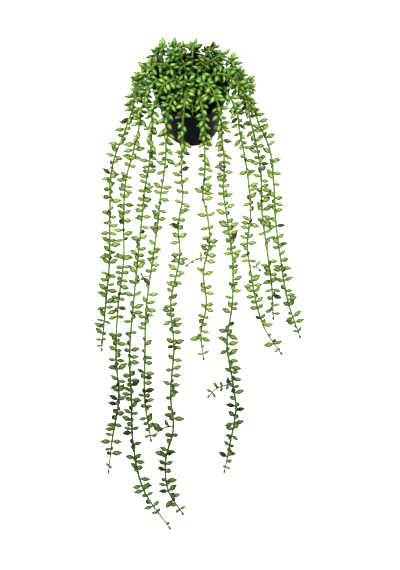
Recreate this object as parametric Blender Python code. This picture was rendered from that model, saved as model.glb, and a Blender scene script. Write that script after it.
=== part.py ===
"""Potted string of pearls with pointed, tear-shaped leaves, standing on a surface.

A black tapered plastic pot holds potting mix. Leafy stems stand in holes in the mix, arch over the rim and
drop to the surface, where the long ones run out to the front, side by side. Each stem and its leaves are one
solid.
Lengths are in metres, +Z is up, and the origin is the centre of the pot's underside.
"""

import math
import random

import bmesh
import bpy
import numpy as np
from mathutils import Matrix, Vector

# Pot
POT_HEIGHT = 0.080
RIM_RADIUS = 0.045
BASE_RADIUS = 0.031
WALL_TOP_RADIUS = 0.0436
WALL = 0.0018
COLLAR_HEIGHT = 0.010
LIP_ROUND = 0.0008
FLOOR_THICKNESS = 0.0022
POT_SIDES = 32
SMOOTH_UNDER = 30
DRAIN_HOLES = 6
DRAIN_RADIUS = 0.003
DRAIN_CIRCLE = 0.019

# Potting mix
GAP = 0.0003
SOIL_EDGE_HEIGHT = 0.0690
SOIL_CROWN = 0.0020
SOIL_BUMP = 0.0005
SOIL_SIDES = 20
SOIL_RINGS = 3
HOLE_DEPTH = 0.014
HOLE_SIDES = 5

# Stems
STEM_RADIUS = 0.0012
STEM_TIP_RADIUS = 0.0007
STEP = 0.001
ROOT_HALF = 0.0011
COLLAR_RISE = 0.002
FOOT_RISE = 0.003
CURVE_PARTS = 24
MOST_SAG = 0.0014
SHORTEST_BEND = 4

# A trail's course: over the rim in an arch, past the pot's shoulder, down (share of the way out, height), and
# along the surface with a slight swell
OVERHANG = 0.0095
ARCH_FLOOR = 0.0745
ARCH_TURNS = (32, 66, 100, 140)
SHOULDER = 0.066
DROP = ((0.42, 0.032), (0.84, 0.0125))
SETTLE = 0.012
SURFACE_LINE = 0.0031
SURFACE_SWELL = 0.0008
SWELL_LENGTH = 0.070

# Leaves: a tear from the stem's middle, widest at its belly, and the balls that fill it, as shares of its
# length and of its half width
LEAF_LENGTH = 0.0125
LEAF_RADIUS = 0.0030
LEAF_BELLY = 0.52
LEAF_BALLS = ((0.36, 0.80), (0.60, 1.0), (0.83, 0.60))
LEAF_SIZES = (0.80, 1.06)
CRAMPED = 0.75
LEANS = (50, 108)
LOWEST_SHARE = 0.72
CLEARANCE = 0.0005
OWN_STEM = 0.006
FAR = 1.0

# Leaves weigh down in the air. Near the surface they lie over or stand up. A leaf points away from its stem,
# at least by LEAST_ACROSS, and leans back or forward along it within ALONG.
DROOP = 0.7
NEAR_SURFACE = 0.012
STAND = 0.85
LEAST_ACROSS = 0.3
ALONG = (-0.35, 0.6)

# Leaf nodes: one to three leaves each, spread round the stem in degrees, and turned from node to node
FIRST_NODE = 0.006
LAST_NODE = 0.0065
TRAIL_SPACING = 0.0194
CROWN_SPACING = 0.0110
CROWN_FLOOR = 0.068
COUNTS = (1, 2, 2, 2, 3)
SPREAD = {1: (0,), 2: (0, 165), 3: (0, 115, 240)}
SPIRAL = 137.5
LOOSE_TURN = 32
LOOSE_SPACING = (0.60, 1.40)
TURNS = (0, 25, -25, 50, -50, 75, -75, 100, -100, 130, -130, 180)
TIP_ZONE = 0.060
TIP_SHRINK = 0.68
SEED = 11

# Trails: where each stem stands in the mix (radius, angle), the angle at which it crosses the rim, the top
# of its arch, how far from the axis it drops, and its way along the surface from where it touches down.
# Angles are in degrees from +X, and 270 is the front.
TRAILS = {
    "trail_01": ((0.017, 176), 184, 0.114, 0.065, (
        (-0.078, -0.008), (-0.091, -0.055), (-0.094, -0.138), (-0.093, -0.200), (-0.096, -0.262),
        (-0.099, -0.322))),
    "trail_02": ((0.026, 199), 203, 0.103, 0.062, (
        (-0.068, -0.040), (-0.076, -0.082), (-0.078, -0.138), (-0.077, -0.200), (-0.082, -0.262),
        (-0.083, -0.330), (-0.079, -0.384), (-0.085, -0.440), (-0.088, -0.478))),
    "trail_03": ((0.016, 222), 221, 0.110, 0.060, (
        (-0.049, -0.058), (-0.054, -0.096), (-0.057, -0.138), (-0.061, -0.200), (-0.065, -0.262),
        (-0.068, -0.330), (-0.065, -0.386), (-0.062, -0.445), (-0.050, -0.500), (-0.022, -0.546))),
    "trail_04": ((0.027, 240), 240, 0.094, 0.057, (
        (-0.031, -0.067), (-0.035, -0.100), (-0.038, -0.140), (-0.044, -0.200), (-0.050, -0.262),
        (-0.051, -0.330), (-0.050, -0.390), (-0.043, -0.438))),
    "trail_05": ((0.015, 262), 260, 0.103, 0.057, (
        (-0.012, -0.073), (-0.010, -0.104), (-0.015, -0.150), (-0.013, -0.190), (-0.023, -0.262),
        (-0.019, -0.315), (-0.022, -0.384), (-0.019, -0.424), (-0.027, -0.465), (-0.024, -0.500),
        (-0.008, -0.530))),
    "trail_06": ((0.026, 284), 285, 0.096, 0.057, (
        (0.016, -0.071), (0.013, -0.102), (0.019, -0.140), (0.021, -0.172), (0.014, -0.215),
        (0.017, -0.262), (0.011, -0.300), (0.014, -0.334))),
    "trail_07": ((0.016, 308), 306, 0.107, 0.058, (
        (0.039, -0.062), (0.037, -0.096), (0.041, -0.138), (0.047, -0.200), (0.046, -0.262),
        (0.040, -0.312), (0.046, -0.365), (0.049, -0.395), (0.042, -0.445), (0.036, -0.478))),
    "trail_08": ((0.027, 329), 328, 0.095, 0.062, (
        (0.062, -0.044), (0.066, -0.082), (0.068, -0.138), (0.064, -0.176), (0.068, -0.220),
        (0.074, -0.262), (0.083, -0.296), (0.100, -0.326))),
    "trail_09": ((0.017, 352), 350, 0.102, 0.065, (
        (0.075, -0.022), (0.080, -0.060), (0.082, -0.138), (0.087, -0.190), (0.091, -0.236),
        (0.092, -0.280))),
    "trail_10": ((0.027, 12), 11, 0.094, 0.066, (
        (0.078, 0.006), (0.091, -0.035), (0.096, -0.090), (0.097, -0.138), (0.102, -0.200),
        (0.109, -0.258), (0.121, -0.304))),
    "trail_11": ((0.016, 36), 36, 0.100, 0.062, (
        (0.056, 0.044), (0.058, 0.062), (0.048, 0.082))),
    "trail_12": ((0.026, 62), 61, 0.095, 0.058, (
        (0.031, 0.062), (0.030, 0.084), (0.022, 0.104))),
    "trail_13": ((0.017, 88), 87, 0.094, 0.057, (
        (0.003, 0.070), (0.000, 0.090), (0.003, 0.110))),
    "trail_14": ((0.027, 112), 113, 0.094, 0.057, (
        (-0.025, 0.066), (-0.026, 0.086), (-0.018, 0.106))),
    "trail_15": ((0.016, 138), 137, 0.111, 0.061, (
        (-0.049, 0.051), (-0.050, 0.070), (-0.042, 0.090))),
    "trail_16": ((0.026, 159), 161, 0.096, 0.064, (
        (-0.067, 0.030), (-0.070, 0.046), (-0.066, 0.062))),
}

# Crown shoots: where each stands (radius, angle), the way it leans, its height over the mix and its reach
# outward. Those with a reach of more than SPRIG_REACH bow over, and the others stand.
SPRIG_REACH = 0.012
CROWN_SHOOTS = {
    "shoot_01": ((0.005, 20), 30, 0.034, 0.034),
    "shoot_02": ((0.006, 140), 124, 0.036, 0.032),
    "shoot_03": ((0.006, 255), 250, 0.033, 0.033),
    "shoot_04": ((0.034, 188), 193, 0.016, 0.026),
    "shoot_05": ((0.034, 231), 231, 0.019, 0.013),
    "shoot_06": ((0.034, 272), 273, 0.018, 0.014),
    "shoot_07": ((0.034, 318), 317, 0.019, 0.013),
    "shoot_08": ((0.034, 0), 1, 0.016, 0.026),
    "shoot_09": ((0.034, 49), 48, 0.017, 0.022),
    "shoot_10": ((0.034, 100), 99, 0.016, 0.024),
    "shoot_11": ((0.034, 148), 149, 0.017, 0.023),
    "shoot_12": ((0.0215, 188), 184, 0.024, 0.007),
    "shoot_13": ((0.0215, 231), 230, 0.021, 0.008),
    "shoot_14": ((0.0215, 273), 276, 0.024, 0.007),
    "shoot_15": ((0.0215, 318), 319, 0.022, 0.008),
    "shoot_16": ((0.0215, 2), 358, 0.024, 0.007),
    "shoot_17": ((0.0215, 49), 49, 0.021, 0.008),
    "shoot_18": ((0.0215, 100), 98, 0.024, 0.007),
    "shoot_19": ((0.0215, 149), 152, 0.022, 0.008),
}
BOW = ((0.18, 0.72), (0.48, 1.0), (0.80, 0.86), (1.0, 0.52))
SPRIG = ((0.08, 0.36), (0.32, 0.72), (0.66, 0.94), (1.15, 0.98))

# Side shoots on the surface: the trail each leaves, how far to the front, the side (-1 is towards -X) and the
# length. Their course is (share of length sideways, share forward, rise).
SIDE_SHOOTS = (
    ("trail_04", -0.222, -1, 0.014),
    ("trail_05", -0.420, -1, 0.022),
    ("trail_06", -0.196, -1, 0.022),
    ("trail_07", -0.366, -1, 0.032),
    ("trail_08", -0.208, 1, 0.012),
)
SIDE_COURSE = ((0.25, 0.06, 0.0010), (0.6, 0.22, 0.0016), (0.9, 0.52, 0.0004))
SIDE_WIDTH = 0.8
SIDE_SPACING = 0.0075
FORK_ROOM = 0.004

# Colours, with their roughness
LEAF_FINISH = ((0.11, 0.25, 0.04, 1.0), 0.45)
POT_FINISH = ((0.008, 0.008, 0.010, 1.0), 0.35)
SOIL_FINISH = ((0.045, 0.030, 0.020, 1.0), 0.95)


def polar(radius, degrees, height):
    """A point at a distance from the pot's axis, at an angle from +X."""
    turn = math.radians(degrees)
    return Vector((radius * math.cos(turn), radius * math.sin(turn), height))


def wall_radius(height):
    """The pot's outer radius below its collar."""
    return BASE_RADIUS + (WALL_TOP_RADIUS - BASE_RADIUS) * height / POT_HEIGHT


def soil_height(x, y):
    """The top of the potting mix: a low dome with gentle bumps."""
    share = (x * x + y * y) / WALL_TOP_RADIUS**2
    bumps = math.sin(420 * x + 1.0) * math.cos(380 * y - 0.6)
    return SOIL_EDGE_HEIGHT + SOIL_CROWN * (1 - share) + SOIL_BUMP * bumps


def material(name, colour, roughness):
    """A Principled material."""
    made = bpy.data.materials.new(name)
    made.use_nodes = True
    shader = made.node_tree.nodes["Principled BSDF"]
    shader.inputs["Base Color"].default_value = colour
    shader.inputs["Roughness"].default_value = roughness
    return made


def add_object(name, mesh, finish):
    """An object for a mesh, linked to the scene, with its material."""
    mesh.materials.append(finish)
    made = bpy.data.objects.new(name, mesh)
    bpy.context.scene.collection.objects.link(made)
    return made


def mesh_from(name, bm):
    """The mesh of a bmesh, with its faces pointing out."""
    bmesh.ops.recalc_face_normals(bm, faces=bm.faces)
    mesh = bpy.data.meshes.new(name)
    bm.to_mesh(mesh)
    bm.free()
    return mesh


def turned(name, profile, sides):
    """A closed body of revolution round Z from a profile of (radius, height) with both ends on the axis."""
    bm = bmesh.new()
    points = [bm.verts.new((radius, 0, height)) for radius, height in profile]
    edges = [bm.edges.new(pair) for pair in zip(points, points[1:])]
    bmesh.ops.spin(bm, geom=points + edges, axis=(0, 0, 1), cent=(0, 0, 0), angle=math.tau, steps=sides)
    bmesh.ops.remove_doubles(bm, verts=bm.verts, dist=GAP / 10)
    return mesh_from(name, bm)


def cutters(name, places, radius, low, depth, sides):
    """A hidden collection of upright prisms, one for each place, for a Boolean to take away."""
    group = bpy.data.collections.new(name)
    bpy.context.scene.collection.children.link(group)
    for number, (x, y) in enumerate(places):
        bm = bmesh.new()
        bmesh.ops.create_cone(bm, cap_ends=True, segments=sides, radius1=radius, radius2=radius, depth=depth,
                              matrix=Matrix.Translation((x, y, low + depth / 2)))
        cutter = bpy.data.objects.new(f"{name}_{number}", mesh_from(name, bm))
        cutter.hide_render = True
        cutter.display_type = "WIRE"
        group.objects.link(cutter)
    return group


def cut(body, group):
    """Takes a collection of cutters away from a body."""
    boolean = body.modifiers.new("holes", "BOOLEAN")
    boolean.operation = "DIFFERENCE"
    boolean.solver = "EXACT"
    boolean.operand_type = "COLLECTION"
    boolean.collection = group


def make_pot():
    """The tapered pot with a stepped collar, a rounded lip and drain holes in its floor."""
    step = POT_HEIGHT - COLLAR_HEIGHT
    inner_top = RIM_RADIUS - WALL - (RIM_RADIUS - WALL_TOP_RADIUS) / 2
    profile = (
        (0, 0),
        (BASE_RADIUS - LIP_ROUND, 0),
        (BASE_RADIUS, LIP_ROUND),
        (wall_radius(step), step),
        (RIM_RADIUS - LIP_ROUND / 2, step + LIP_ROUND),
        (RIM_RADIUS, POT_HEIGHT - LIP_ROUND),
        (RIM_RADIUS - LIP_ROUND, POT_HEIGHT),
        (inner_top, POT_HEIGHT),
        (wall_radius(step) - WALL, step - LIP_ROUND),
        (wall_radius(FLOOR_THICKNESS) - WALL, FLOOR_THICKNESS),
        (0, FLOOR_THICKNESS),
    )
    mesh = turned("pot", profile, POT_SIDES)
    mesh.shade_smooth()
    mesh.set_sharp_from_angle(angle=math.radians(SMOOTH_UNDER))
    pot = add_object("pot", mesh, material("black_plastic", *POT_FINISH))
    places = [polar(DRAIN_CIRCLE, 360 * n / DRAIN_HOLES, 0).xy for n in range(DRAIN_HOLES)]
    cut(pot, cutters("drain", places, DRAIN_RADIUS, -FLOOR_THICKNESS, 3 * FLOOR_THICKNESS, HOLE_SIDES))


def make_soil(roots):
    """The potting mix: a tapered plug with a bumpy top and a plain hole for each stem."""
    bm = bmesh.new()
    loops = []
    floor = FLOOR_THICKNESS + GAP
    edge = SOIL_EDGE_HEIGHT

    def loop(radius, height):
        places = [polar(radius, 360 * n / SOIL_SIDES, 0).xy for n in range(SOIL_SIDES)]
        loops.append([bm.verts.new((x, y, height(x, y))) for x, y in places])

    loop(wall_radius(floor) - WALL - GAP, lambda x, y: floor)
    outer = wall_radius(edge) - WALL - 2 * GAP
    for ring in range(SOIL_RINGS, 0, -1):
        loop(outer * ring / SOIL_RINGS, soil_height)
    for lower, upper in zip(loops, loops[1:]):
        for n in range(SOIL_SIDES):
            after = (n + 1) % SOIL_SIDES
            bm.faces.new((lower[n], lower[after], upper[after], upper[n]))
    bm.faces.new(loops[0])
    middle = bm.verts.new((0, 0, soil_height(0, 0)))
    for n in range(SOIL_SIDES):
        bm.faces.new((loops[-1][n], loops[-1][(n + 1) % SOIL_SIDES], middle))
    soil = add_object("soil", mesh_from("soil", bm), material("potting_mix", *SOIL_FINISH))
    low = SOIL_EDGE_HEIGHT - HOLE_DEPTH
    cut(soil, cutters("stem_hole", roots, STEM_RADIUS + 2 * GAP, low, 2 * HOLE_DEPTH, HOLE_SIDES))


def through(points):
    """A smooth curve through the points, sampled every STEP of its length."""
    spans = [(b - a).length for a, b in zip(points, points[1:])]
    slopes = [(points[1] - points[0]) / spans[0]]
    for n in range(1, len(spans)):
        before, after = spans[n - 1], spans[n]
        rise = (points[n] - points[n - 1]) / before * after + (points[n + 1] - points[n]) / after * before
        if (points[n].z - points[n - 1].z) * (points[n + 1].z - points[n].z) <= 0:
            rise.z = 0
        slopes.append(rise / (before + after))
    slopes.append((points[-1] - points[-2]) / spans[-1])
    fine = []
    for a, b, start, end, span in zip(points, points[1:], slopes, slopes[1:], spans):
        for n in range(CURVE_PARTS):
            t = n / CURVE_PARTS
            fine.append(a * (2 * t**3 - 3 * t**2 + 1) + b * (3 * t**2 - 2 * t**3)
                        + start * span * (t**3 - 2 * t**2 + t) + end * span * (t**3 - t**2))
    fine.append(points[-1])
    sampled = [fine[0]]
    left = STEP
    for a, b in zip(fine, fine[1:]):
        length = (b - a).length
        done = 0.0
        while length - done >= left:
            done += left
            left = STEP
            sampled.append(a.lerp(b, done / length))
        left -= length - done
    return sampled


def foot(radius, degrees):
    """The upright start of a stem: its buried end, the top of the mix and a little above."""
    place = polar(radius, degrees, 0)
    top = soil_height(place.x, place.y)
    return [place + Vector((0, 0, height)) for height in (top - HOLE_DEPTH + 2 * GAP, top, top + FOOT_RISE)]


def trail_route(name):
    """A long stem: up from the mix, over the rim, down beside the pot and along the surface."""
    (radius, degrees), rim, arch, reach, way = TRAILS[name]
    points = foot(radius, degrees)
    for turn in ARCH_TURNS:
        share = (1 - math.cos(math.radians(turn))) / 2
        out = radius + (RIM_RADIUS + OVERHANG - radius) * share
        height = ARCH_FLOOR + (arch - ARCH_FLOOR) * math.sin(math.radians(turn))
        points.append(polar(out, degrees + (rim - degrees) * share, height))
    shoulder = polar(reach, rim, SHOULDER)
    points.append(shoulder)
    down, after = Vector((*way[0], SURFACE_LINE)), Vector((*way[1], SURFACE_LINE))
    points += [Vector((*shoulder.xy.lerp(down.xy, share), height)) for share, height in DROP]
    points.append(down + (after - down).normalized() * SETTLE)
    length = 0.0
    for x, y in way[1:]:
        place = Vector((x, y))
        length += (place - points[-1].xy).length
        swell = SURFACE_SWELL * (1 - math.cos(math.tau * length / SWELL_LENGTH))
        points.append(Vector((x, y, SURFACE_LINE + swell)))
    return through(points)


def shoot_route(name):
    """A short stem that rises from the mix inside the crown, and bows over or stands."""
    (radius, degrees), lean, height, reach = CROWN_SHOOTS[name]
    points = foot(radius, degrees)
    start, way = points[1], polar(1, lean, 0)
    for out, up in BOW if reach > SPRIG_REACH else SPRIG:
        points.append(start + way * reach * out + Vector((0, 0, height * up)))
    return through(points)


class Shoot:
    """A stem: its centreline, a frame carried along it, and what grows at its nodes."""

    def __init__(self, name, points, side=None, radius=STEM_RADIUS):
        self.name = name
        self.points = points
        self.radius = radius
        last = len(points) - 1
        around = [(points[max(n - 1, 0)], points[min(n + 1, last)]) for n in range(last + 1)]
        self.tangents = [(after - before).normalized() for before, after in around]
        side = side or self.tangents[0].orthogonal()
        self.sides = []
        for tangent in self.tangents:
            side = (side - tangent * side.dot(tangent)).normalized()
            self.sides.append(side)
        self.nodes = {}
        self.branches = []

    def width(self, place):
        """The stem's half width at a sample. It tapers in its last stretch."""
        left = (len(self.points) - 1 - place) * STEP
        share = min(1.0, left / TIP_ZONE)
        return STEM_TIP_RADIUS + (self.radius - STEM_TIP_RADIUS) * share

    def frame(self, place, turn=0.0):
        """Tangent, side and up at a sample, turned about the tangent by an angle."""
        tangent, side = self.tangents[place], self.sides[place]
        side = Matrix.Rotation(turn, 3, tangent) @ side
        return tangent, side, tangent.cross(side)

    def angle_of(self, place, direction):
        """The angle round the stem at which a direction leaves it."""
        _, side, up = self.frame(place)
        return math.atan2(direction.dot(up), direction.dot(side))


class Crowd:
    """What is already there: balls along every stem and leaf, so that new leaves keep clear of them."""

    def __init__(self):
        self.centres = np.zeros((0, 3))
        self.radii = np.zeros(0)
        self.stems = np.zeros((0, 2))

    def add(self, centres, radii, stem):
        """Adds balls. Each one's stem is (owner, sample), or (-1, 0) for a ball of a leaf."""
        self.centres = np.vstack([self.centres, [tuple(c) for c in centres]])
        self.radii = np.append(self.radii, radii)
        self.stems = np.vstack([self.stems, stem])

    def room(self, centres, radii, owner, place):
        """The least gap from these balls to the crowd, the pot, the mix and the surface."""
        near = (self.stems[:, 0] == owner) & (np.abs(self.stems[:, 1] - place) < OWN_STEM / STEP)
        least = FAR
        for centre, radius in zip(centres, radii):
            gaps = np.linalg.norm(self.centres - np.array(centre), axis=1) - self.radii - radius
            gaps[near] = FAR
            least = min(least, gaps.min(), centre.z - LOWEST_SHARE * radius, pot_gap(centre) - radius)
        return least


def pot_gap(point):
    """How far a point is from the pot's wall and the potting mix."""
    out = point.xy.length
    if out < WALL_TOP_RADIUS and point.z < POT_HEIGHT + WALL_TOP_RADIUS:
        mix = point.z - SOIL_EDGE_HEIGHT - SOIL_CROWN
    else:
        mix = FAR
    low, high = Vector((BASE_RADIUS - WALL / 2, 0)), Vector((RIM_RADIUS - WALL, POT_HEIGHT - WALL))
    spot, rise = Vector((out, point.z)), high - low
    share = min(1.0, max(0.0, (spot - low).dot(rise) / rise.length_squared))
    return min(mix, (spot - low - rise * share).length - WALL)


def leaf_balls(root, direction, scale):
    """The balls that fill a leaf, for keeping leaves apart."""
    centres = [root + direction * LEAF_LENGTH * scale * share for share, _ in LEAF_BALLS]
    return centres, [LEAF_RADIUS * scale * width for _, width in LEAF_BALLS]


def settled(direction, tangent, height):
    """A leaf's direction under its own weight: near the surface it lies over to one side or stands up."""
    if height < NEAR_SURFACE:
        direction = Vector((direction.x, direction.y, abs(direction.z) * STAND))
    else:
        direction = direction - Vector((0, 0, DROOP))
    along = direction.dot(tangent)
    across = direction - tangent * along
    if across.length < LEAST_ACROSS:
        across = across + tangent.cross(Vector((0, 0, 1)))
    return (across.normalized() + tangent * max(ALONG[0], min(ALONG[1], along))).normalized()


def try_leaf(shoot, owner, place, turn, lean, scale, crowd):
    """A leaf at a node, as its direction and scale, at the first way round that is clear, or None."""
    tangent, side, up = shoot.frame(place)
    for size in (scale, scale * CRAMPED):
        for extra in TURNS:
            around = math.radians(turn + extra)
            out = side * math.cos(around) + up * math.sin(around)
            way = settled(out * math.sin(lean) + tangent * math.cos(lean), tangent, shoot.points[place].z)
            centres, radii = leaf_balls(shoot.points[place], way, size)
            if crowd.room(centres, radii, owner, place) > CLEARANCE:
                return way, size
    return None


def node_places(shoot, start, spacing, rng):
    """The samples of a stem at which leaves grow, closer together in the crown and one near the tip."""
    places, place = [], start
    last = len(shoot.points) - 1 - round(LAST_NODE / STEP)
    while place < last - LAST_NODE / STEP:
        places.append(round(place))
        crowded = shoot.points[round(place)].z > CROWN_FLOOR
        place += (CROWN_SPACING if crowded else spacing) * rng.uniform(*LOOSE_SPACING) / STEP
    return places + [last]


def grow_leaves(shoot, owner, crowd, rng, start, spacing):
    """Puts one to three leaves at each node, turning round the stem, where the crowd leaves room."""
    turn = rng.uniform(0, 360)
    forks = [place for place, _ in shoot.branches]
    for place in node_places(shoot, start, spacing, rng):
        turn += SPIRAL
        if any(abs(place - fork) < FORK_ROOM / STEP for fork in forks):
            continue
        left = (len(shoot.points) - 1 - place) * STEP
        scale = TIP_SHRINK + (1 - TIP_SHRINK) * min(1.0, left / TIP_ZONE)
        found = []
        for offset in SPREAD[rng.choice(COUNTS)]:
            lean = math.radians(rng.uniform(*LEANS))
            size = scale * rng.uniform(*LEAF_SIZES)
            around = turn + offset + rng.uniform(-LOOSE_TURN, LOOSE_TURN)
            leaf = try_leaf(shoot, owner, place, around, lean, size, crowd)
            if leaf:
                centres, radii = leaf_balls(shoot.points[place], *leaf)
                crowd.add(centres, radii, [(-1, 0)] * len(LEAF_BALLS))
                found.append(leaf)
        if found:
            shoot.nodes[place] = found


def side_shoot(shoot, place, way, length):
    """A short stem that leaves a trail at a sample and curves forward over the surface."""
    start, tangent = shoot.points[place], shoot.tangents[place]
    out = Vector((way, 0, 0))
    points = [start]
    for share, forward, rise in SIDE_COURSE:
        points.append(start + (out * share + tangent * forward) * length + Vector((0, 0, rise)))
    return Shoot(shoot.name, through(points), -(tangent - out * tangent.dot(out)), STEM_RADIUS * SIDE_WIDTH)


def plan_shoots():
    """Every stem with its leaves and side shoots, kept clear of one another."""
    shoots = [Shoot(name, trail_route(name)) for name in TRAILS]
    shoots += [Shoot(name, shoot_route(name)) for name in CROWN_SHOOTS]
    named = {shoot.name: shoot for shoot in shoots}
    for name, front, way, length in SIDE_SHOOTS:
        trail = named[name]
        place = min(range(len(trail.points)), key=lambda n: abs(trail.points[n].y - front))
        trail.branches.append((place, side_shoot(trail, place, way, length)))
    stems = shoots + [branch for shoot in shoots for _, branch in shoot.branches]
    crowd = Crowd()
    for owner, stem in enumerate(stems):
        count = range(0, len(stem.points), 2)
        centres = [stem.points[n] for n in count]
        crowd.add(centres, [stem.width(n) for n in count], [(owner, n) for n in count])
    for owner, stem in enumerate(stems):
        branch = owner >= len(shoots)
        start = round((FIRST_NODE + (0 if branch else HOLE_DEPTH)) / STEP)
        spacing = SIDE_SPACING if branch else TRAIL_SPACING
        grow_leaves(stem, owner, crowd, random.Random(SEED + owner), start, spacing)
    return shoots


def corners(centre, side, up, radius):
    """Four corners round a centre. The face after corner n looks n quarter turns from side towards up."""
    spots = []
    for n in range(4):
        turn = math.radians(90 * n - 45)
        spots.append(centre + radius * (side * math.cos(turn) + up * math.sin(turn)))
    return spots


def skin(bm, ring, spots, skip=()):
    """Joins a ring of vertices to new ones at spots by side faces, and returns the new ring."""
    new = [bm.verts.new(spot) for spot in spots]
    count = len(ring)
    for n in range(count):
        if n not in skip:
            after = (n + 1) % count
            bm.faces.new((ring[n], ring[after], new[after], new[n]))
    return new


def close_at(bm, ring, apex):
    """Closes a ring with a fan of faces to one point."""
    tip = bm.verts.new(apex)
    for n, corner in enumerate(ring):
        bm.faces.new((corner, ring[(n + 1) % len(ring)], tip))


def add_leaf(bm, ring, root, tangent, direction, scale):
    """Grows a tear-shaped leaf out of a side face of the stem."""
    side = -(tangent - direction * tangent.dot(direction)).normalized()
    reach = direction * LEAF_LENGTH * scale
    belly = corners(root + reach * LEAF_BELLY, side, direction.cross(side), LEAF_RADIUS * scale)
    close_at(bm, skin(bm, ring, belly), root + reach)


def bend_places(shoot, start, end):
    """The samples between two nodes at which the stem needs a ring so that it keeps to its curve."""
    points = shoot.points
    if end - start < SHORTEST_BEND:
        return []
    chord = (points[end] - points[start]).normalized()
    offs = [((points[n] - points[start]).cross(chord).length, n) for n in range(start + 1, end)]
    most, place = max(offs)
    if most < MOST_SAG:
        return []
    return bend_places(shoot, start, place) + [place] + bend_places(shoot, place, end)


def add_stem(bm, shoot, ring, start):
    """Grows a stem from a ring along its centreline, with what each node bears out of its side faces."""
    turn = 0.0
    growth = {place: list(leaves) for place, leaves in shoot.nodes.items()}
    for place, branch in shoot.branches:
        growth.setdefault(place, []).append((branch.tangents[0], branch))
    last = len(shoot.points) - 1
    for place in sorted(growth) + [last]:
        for bend in bend_places(shoot, start, place):
            _, side, up = shoot.frame(bend, turn)
            ring = skin(bm, ring, corners(shoot.points[bend], side, up, shoot.width(bend)))
        if place < last:
            ring, turn = add_node(bm, shoot, ring, place, turn, growth[place])
        start = place
    close_at(bm, ring, shoot.points[last])


def add_node(bm, shoot, ring, place, turn, growth):
    """Grows a stem past a node, with leaves and side shoots out of the side faces that look their way."""
    tangent, centre, width = shoot.tangents[place], shoot.points[place], shoot.width(place)
    angles = [shoot.angle_of(place, way) for way, _ in growth]
    turn = angles[0] - round((angles[0] - turn) / (math.pi / 2)) * math.pi / 2
    faces = {}
    for grown, angle in zip(growth, angles):
        faces.setdefault(round((angle - turn) / (math.pi / 2)) % 4, grown)
    _, side, up = shoot.frame(place, turn)
    lower = skin(bm, ring, corners(centre - tangent * ROOT_HALF, side, up, width))
    upper = skin(bm, lower, corners(centre + tangent * ROOT_HALF, side, up, width), skip=faces)
    for face, (way, grown) in faces.items():
        after = (face + 1) % 4
        root = [lower[face], lower[after], upper[after], upper[face]]
        if isinstance(grown, Shoot):
            add_stem(bm, grown, root, 0)
        else:
            add_leaf(bm, root, centre, tangent, way, grown)
    return upper, turn


def make_shoot(shoot, finish):
    """The solid of a stem with its leaves and side shoots."""
    bm = bmesh.new()
    _, side, up = shoot.frame(0)
    ring = [bm.verts.new(spot) for spot in corners(shoot.points[0], side, up, shoot.radius)]
    bm.faces.new(ring)
    collar = round((HOLE_DEPTH + COLLAR_RISE) / STEP)
    _, side, up = shoot.frame(collar)
    ring = skin(bm, ring, corners(shoot.points[collar], side, up, shoot.radius))
    add_stem(bm, shoot, ring, collar)
    return add_object(shoot.name, mesh_from(shoot.name, bm), finish)


def main():
    for old in list(bpy.data.objects):
        bpy.data.objects.remove(old)
    shoots = plan_shoots()
    make_pot()
    make_soil([shoot.points[0].xy for shoot in shoots])
    for shoot in shoots:
        make_shoot(shoot, material(f"leaf_green_{shoot.name}", *LEAF_FINISH))


main()
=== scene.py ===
"""Looks of a potted string of pearls with pointed, tear-shaped leaves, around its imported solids.

The pot, the potting mix and every leafy stem get a finer piece that keeps the form of its solid. The stems
follow the routes of the solids and bear the same leaves, with more leaves between them, to the fullness of
the real plant. Lengths are in metres, +Z is up, and the origin is the centre of the pot's underside.
"""

import logging
import math
import random
from collections.abc import Sequence
from dataclasses import dataclass, field, replace
from enum import Enum
from functools import partial

import bmesh
import bpy
import numpy as np
from mathutils import Matrix, Vector, noise

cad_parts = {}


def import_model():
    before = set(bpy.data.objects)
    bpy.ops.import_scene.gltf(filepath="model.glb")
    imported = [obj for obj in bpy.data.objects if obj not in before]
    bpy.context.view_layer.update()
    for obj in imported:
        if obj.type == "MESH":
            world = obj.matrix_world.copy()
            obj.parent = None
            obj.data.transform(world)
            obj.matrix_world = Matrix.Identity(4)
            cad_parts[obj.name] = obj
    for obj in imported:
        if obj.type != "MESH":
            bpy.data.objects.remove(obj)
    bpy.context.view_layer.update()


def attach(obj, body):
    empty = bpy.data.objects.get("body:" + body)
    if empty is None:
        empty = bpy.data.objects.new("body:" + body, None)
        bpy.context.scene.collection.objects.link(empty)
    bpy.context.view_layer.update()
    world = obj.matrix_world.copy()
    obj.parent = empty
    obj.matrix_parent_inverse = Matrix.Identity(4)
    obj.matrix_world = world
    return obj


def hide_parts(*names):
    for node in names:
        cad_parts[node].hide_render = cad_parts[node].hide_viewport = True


LOG = logging.getLogger("potted_string_of_pearls")
BODY = "root"
# the distance between samples of a stem, the parts of a span of its curve, and a gap of no concern
STEP = 0.001
CURVE_PARTS = 24
FAR = 1.0

Colour = tuple[float, float, float, float]
Span = tuple[float, float]


class Slot(Enum):
    """The record's material slots."""

    POT = "pot"
    MIX = "potting_mix"
    FOLIAGE = "foliage"


class Layer(Enum):
    """Values that a mesh carries at its points, for its finish to read."""

    ALONG = "along"
    WINDOW = "window"
    TONE = "tone"
    DEPTH = "depth"
    WEAR = "wear"


def linear(code: str) -> Colour:
    """Turns an sRGB hex code into a linear colour.

    Args:
        code: the colour as #RRGGBB.

    Returns:
        Red, green, blue and a full alpha.
    """
    parts = [int(code[n:n + 2], 16) / 255 for n in (1, 3, 5)]
    red, green, blue = (c / 12.92 if c <= 0.04045 else ((c + 0.055) / 1.055) ** 2.4 for c in parts)
    return red, green, blue, 1.0


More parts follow.
